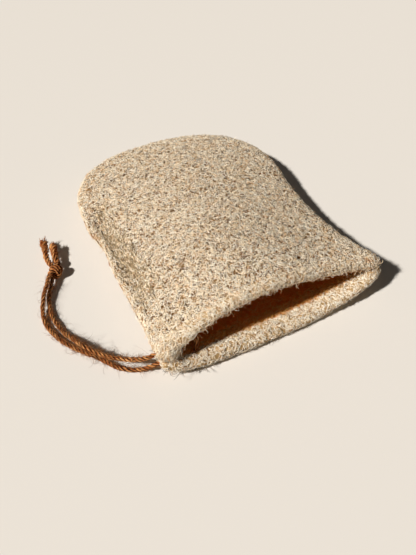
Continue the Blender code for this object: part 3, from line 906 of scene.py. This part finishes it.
def lift(lines, under, low, high):
    """Raise the middle of each line off the mat and sink its ends into it."""
    t = np.linspace(0, 1, lines.shape[1])[None]
    arch = np.sin(math.pi * t) ** ARCH_FULLNESS
    height = low + (high - low) * draw.random((len(lines), 1)) ** FEW_RISE_HIGH
    ripple = RIPPLE * height * np.sin(t * RIPPLE_TURN + draw.uniform(0, 6.3, (len(lines), 1)))
    rise = (height + ripple) * arch - SINK * (1 - arch)
    lifted = lines + under * rise[..., None]
    lifted[..., 2] = np.maximum(lifted[..., 2], LOWEST_FIBRE)
    return lifted


def clear_of_twine(lines):
    """Leave out fibres that would run through the twine."""
    middle = lines[:, lines.shape[1] // 2]
    near = np.linalg.norm(middle[:, None] - loop_line[None, ::6], axis=2).min(axis=1)
    return near > TWINE * ROOM_FOR_TWINE


# %% One mesh of many fibres
FIBRE_SIDES = 3


def fibre_mesh(name, groups):
    """One mesh of the fibres in groups of (lines, under, thickness, tone, painted pocket shade and glow).
    """
    swept = []
    for lines, under, thickness, tone, pocket_shade_glow in groups:
        steps = lines.shape[1]
        t = np.linspace(0, 1, steps)[None]
        radii = (thickness / 2)[:, None] * (0.55 + 0.45 * np.sin(math.pi * t))
        points, faces = sweep(lines, under, radii, FIBRE_SIDES, half=True)
        corners = steps * FIBRE_SIDES
        swept.append((points, faces, {"tone": np.repeat(tone, corners), "pocket_shade_glow": np.repeat(pocket_shade_glow, corners)}))
    return joined_mesh(name, swept)


# %% Dress a sheet in one kind of fibre
CURL_STEPS = 4
CURL_TURNS = 330
RUN_STEPS = 8
RUN_TURNS = 90
FOLD_WAY = (0.12, -1.0, 0.0)
TONE_SPREAD = 0.34


def dress(name, count, keep, lengths, rise, thickness, tone, run=None):
    """A set of fibres on a sheet; keep gives each place its chance from place, normal and openness.

    The fibres of some sets run along the seam or along the fold, and those are longer and straighter.
    """
    places, normals = scatter(name, count)
    kept = keep(places, normals, openness(places, normals)) > draw.random(count)
    places, normals = places[kept], normals[kept]
    count = len(places)
    heading = {None: None, "seam": unit(np.cross(normals, (0.0, 0.0, 1.0))),
               "fold": np.broadcast_to(FOLD_WAY, normals.shape)}[run]
    lines, under = laid_curls(name, places, normals, draw.uniform(*lengths, count) * MM,
                              RUN_TURNS if run else CURL_TURNS, RUN_STEPS if run else CURL_STEPS, heading)
    lines = lift(lines, under, rise[0] * MM, rise[1] * MM)
    width = draw.uniform(*thickness, count) * MM
    # Along the fold the tone is lowered: painted shade.
    tones = np.clip(draw.normal(tone, TONE_SPREAD, count) - FOLD_PAINTED_SHADE * fold_share(places), 0, 1)
    shade = pocket_shade(name, places, normals)
    turned = np.einsum("nkc,nc->nk", under, normals).min(axis=1)
    clear = clear_of_twine(lines) & ((turned > 0) | (places[:, 1] < LIP_TO_Y))
    return [part[clear] for part in (lines, under, width, tones, shade)]


# %% [markdown]
# ## Where each kind of fibre lies
#
# The back of the mitt is a close tangle of short curls. The lips are rougher, with curls that stand up
# higher. Along the seam and the fold the fibres were pressed into line, and they are longer. A single
# kind of fibre would lose all that. Each kind below has its own lengths, rise and thickness in
# millimetres, and a rule that says where it may lie.

# %% Rules for places
NEAR_TABLE = 2.0 * MM
UNDERSIDE_SHARE = 0.55
COVERED_SHARE = 0.12
SEAM_GAP = 4.0 * MM


def outside(places, normals, free):
    return free * np.where(places[:, 2] < NEAR_TABLE, UNDERSIDE_SHARE, 1.0) + (1 - free) * COVERED_SHARE


def near_lip(places, normals, free):
    # The lit strip of the pocket floor, in front of the shade line, takes lip fibres too, which on the
    # lower sheet are painted lighter.
    lit_floor = (1 - free) * (places[:, 1] < SHADE_STARTS_Y + 2 * SHADE_BLEND)
    return np.where(places[:, 1] < LIP_TO_Y, np.maximum(free, lit_floor), 0.0)


def near_seam(name):
    other = finder["lower" if name == "upper" else "upper"]

    def chance(places, normals, free):
        gap = np.array([other.find_nearest(Vector(p))[3] for p in places.tolist()])
        return free * (gap < SEAM_GAP) * (places[:, 1] > LIP_TO_Y)
    return chance


def in_fold(places, normals, free):
    return free * fold_share(places) * (normals[:, 2] > 0)


# %% The kinds of fibre and the sets on each sheet
plain = dict(lengths=(2.2, 5.6), rise=(0.05, 0.95), thickness=(0.17, 0.31), tone=0.80)
lip_kind = dict(lengths=(2.4, 6.8), rise=(0.25, 2.1), thickness=(0.17, 0.32), tone=0.88)
# The lower lip's fibres get a higher tone: painted light, where the lip faces the light.
front_painted_light_kind = dict(lengths=(1.8, 4.8), rise=(0.05, 0.9), thickness=(0.20, 0.34), tone=1.10)
# The seam's fibres are long and lie along it; their low tone is painted shade in the seam groove.
seam_kind = dict(lengths=(8.0, 16.0), rise=(0.15, 1.1), thickness=(0.30, 0.50), tone=0.34, run="seam")
# The fold's fibres are long and lie in line; their low tone is painted shade.
fold_kind = dict(lengths=(5.0, 11.0), rise=(0.20, 1.0), thickness=(0.24, 0.40), tone=0.40, run="fold")
FIBRE_SETS = (
    ("upper", "loofah_curls_upper_1", 23000, outside, plain, fibre_finish),
    ("upper", "loofah_curls_upper_2", 23000, outside, plain, fibre_finish),
    ("upper", "loofah_curls_upper_3", 23000, outside, plain, fibre_finish),
    ("lower", "loofah_curls_lower", 17000, outside, plain, fibre_finish),
    ("upper", "loofah_lip_upper", 14000, near_lip, lip_kind, fibre_finish),
    ("lower", "loofah_lip_lower", 44000, near_lip, front_painted_light_kind, fibre_finish),
    ("upper", "loofah_fold_fibres", 42000, in_fold, fold_kind, fold_shade_finish),
    ("upper", "loofah_seam_upper", 4000, near_seam("upper"), seam_kind, fibre_finish),
    ("lower", "loofah_seam_lower", 4000, near_seam("lower"), seam_kind, fibre_finish))
for sheet, title, tries, keep, kind, finish in FIBRE_SETS:
    add_piece(title, fibre_mesh(title, [dress(sheet, tries, keep, **kind)]), finish)

# %% [markdown]
# ## Stray ends
#
# A cut loofah sheds ends that stand off it, most of all at the cut lips and at the corner with the
# twine, where they show dark against the table; at the corner and the front that dark is painted shade.
# Longer curls over the whole sheet would blur the outline. So the long strays are a few hundred free
# hairs of their own, put only where the photograph has them, and the rest of the mitt gets short ones.

# %% Places for stray ends
CORNER_TO_X = -0.042
CORNER_TO_Y = -0.066
CORNER_HEIGHT = 8 * MM
FRONT_TO_Y = -0.070
FRONT_HEIGHT = 6 * MM
CUT_EDGE_TO_Y = -0.073
OPEN_SHARE = 0.2


def at_corner(places, normals):
    at_left_front = (places[:, 0] < CORNER_TO_X) * (places[:, 1] < CORNER_TO_Y)
    return at_left_front * (normals[:, 2] < 0.2) * (places[:, 2] < CORNER_HEIGHT)


def at_front(places, normals):
    return (places[:, 1] < FRONT_TO_Y) * (normals[:, 1] < -0.3) * (places[:, 2] < FRONT_HEIGHT)


def at_lip(places, normals):
    return (places[:, 1] < CUT_EDGE_TO_Y) * (normals[:, 1] < -0.25) * (normals[:, 2] < 0.5)


def in_open(places, normals):
    return openness(places, normals) * (places[:, 2] > NEAR_TABLE) * OPEN_SHARE


# %% Stray ends that stand off the mitt
STRAYS_ALL_OVER = 1300
STRAYS_AT_CORNER = 110
STRAYS_AT_FRONT = 130
STRAYS_AT_LIP = 400
STRAY_STEPS = 7
STRAY_ROOT = 0.2
STRAY_LEAN = 0.9
STRAY_OUTWARD = (0.2, 0.1, 0.97)


def strays(name, count, tries, keep, shortest, longest, curl):
    """Free curling ends that start on the sheet and stand off it."""
    places, normals = scatter(name, count * tries)
    pick = np.flatnonzero(draw.random(len(places)) < keep(places, normals))[:count]
    places, normals = places[pick], normals[pick]
    across = unit(np.cross(normals, draw.normal(size=places.shape)))
    shortest, longest = shortest * MM, longest * MM
    lengths = shortest + (longest - shortest) * draw.random(len(pick)) ** 1.5
    roots = places - normals * STRAY_ROOT * MM
    lines = hair_lines(roots, normals + across * STRAY_LEAN, lengths, curl, STRAY_STEPS)
    width = draw.uniform(0.15, 0.26, len(pick)) * MM
    tone = draw.uniform(0.0, 0.7, len(pick))
    shade = pocket_shade(name, places, normals)
    return lines, np.broadcast_to(STRAY_OUTWARD, lines.shape), width, tone, shade


def add_strays(title, groups, finish):
    add_piece(title, fibre_mesh(title, groups), finish)


add_strays("loofah_strays_front", [
    strays("lower", STRAYS_AT_CORNER, 500, at_corner, 2.5, 8.5, 1.4),
    strays("lower", STRAYS_AT_FRONT, 300, at_front, 1.5, 4.0, 1.1)], stray_shade_finish)
add_strays("loofah_strays_lip", [
    strays("upper", STRAYS_AT_LIP, 300, at_lip, 1.6, 5.2, 1.3)], fibre_finish)
for sheet in ("lower", "upper"):
    add_strays(f"loofah_strays_{sheet}", [
        strays(sheet, STRAYS_ALL_OVER, 10, in_open, 1.2, 3.2, 0.6)], fibre_finish)

# %% [markdown]
# ## Floor and light
#
# The floor is a plain pale table. The photograph's light is strong and comes from the left, a little
# less than half way up. A near lamp would leave a bright spot on the table, so the light here is a far
# one with a soft edge, and a weak even sky fills the shadows. A camera that looks past the table sees a
# pale wall in place of that weak sky.

# %% Floor
FLOOR_SIZE = 30.0


def make_floor():
    material, tree, shader = start_material("pale_table", 0.85)
    faint = add_node(tree, "ShaderNodeTexNoise", Scale=6.0, Detail=2.0)
    colour = colour_steps(tree, faint.outputs["Fac"],
                          [(0.3, srgb(230, 222, 212)), (0.7, srgb(235, 228, 219))])
    tree.links.new(colour, shader.inputs["Base Color"])
    half = FLOOR_SIZE / 2
    corners = np.array([(-half, -half, 0), (half, -half, 0), (half, half, 0), (-half, half, 0)])
    floor = bpy.data.objects.new("table_top", new_mesh("table_top", corners, np.array([[0, 1, 2, 3]])))
    floor.data.materials.append(material)
    bpy.context.scene.collection.objects.link(floor)


make_floor()

# %% The far lamp
LIGHT_FROM = Vector((-0.75, -0.05, 0.68))
KEY_STRENGTH = 4.58
KEY_ANGLE = math.radians(4)
KEY_COLOUR = (1.0, 0.985, 0.955)

lamp = bpy.data.lights.new("key_lamp", "SUN")
lamp.energy = KEY_STRENGTH
lamp.angle = KEY_ANGLE
lamp.color = KEY_COLOUR
key = bpy.data.objects.new("key_lamp", lamp)
key.rotation_mode = "QUATERNION"
key.rotation_quaternion = (-LIGHT_FROM).to_track_quat("-Z", "Y")
bpy.context.scene.collection.objects.link(key)
print("lamp height over the table, degrees:", round(math.degrees(math.asin(LIGHT_FROM.normalized().z))))

# %% The weak sky and the pale wall
SKY_STRENGTH = 0.045
SKY_COLOUR = (1.0, 0.97, 0.93, 1.0)

bpy.context.scene.view_settings.view_transform = "Standard"
sky = bpy.data.worlds.new("studio")
bpy.context.scene.world = sky
sky.use_nodes = True
web = sky.node_tree
fill = web.nodes["Background"]
fill.inputs["Color"].default_value = SKY_COLOUR
fill.inputs["Strength"].default_value = SKY_STRENGTH
wall = add_node(web, "ShaderNodeBackground", Color=srgb(236, 228, 217))
seen_sky = add_node(web, "ShaderNodeMixShader", [
    (0, add_node(web, "ShaderNodeLightPath").outputs["Is Camera Ray"]),
    (1, fill.outputs["Background"]), (2, wall.outputs["Background"])])
web.links.new(seen_sky.outputs["Shader"], web.nodes["World Output"].inputs["Surface"])
print("sky:", sky.name, "with a strength of", SKY_STRENGTH)
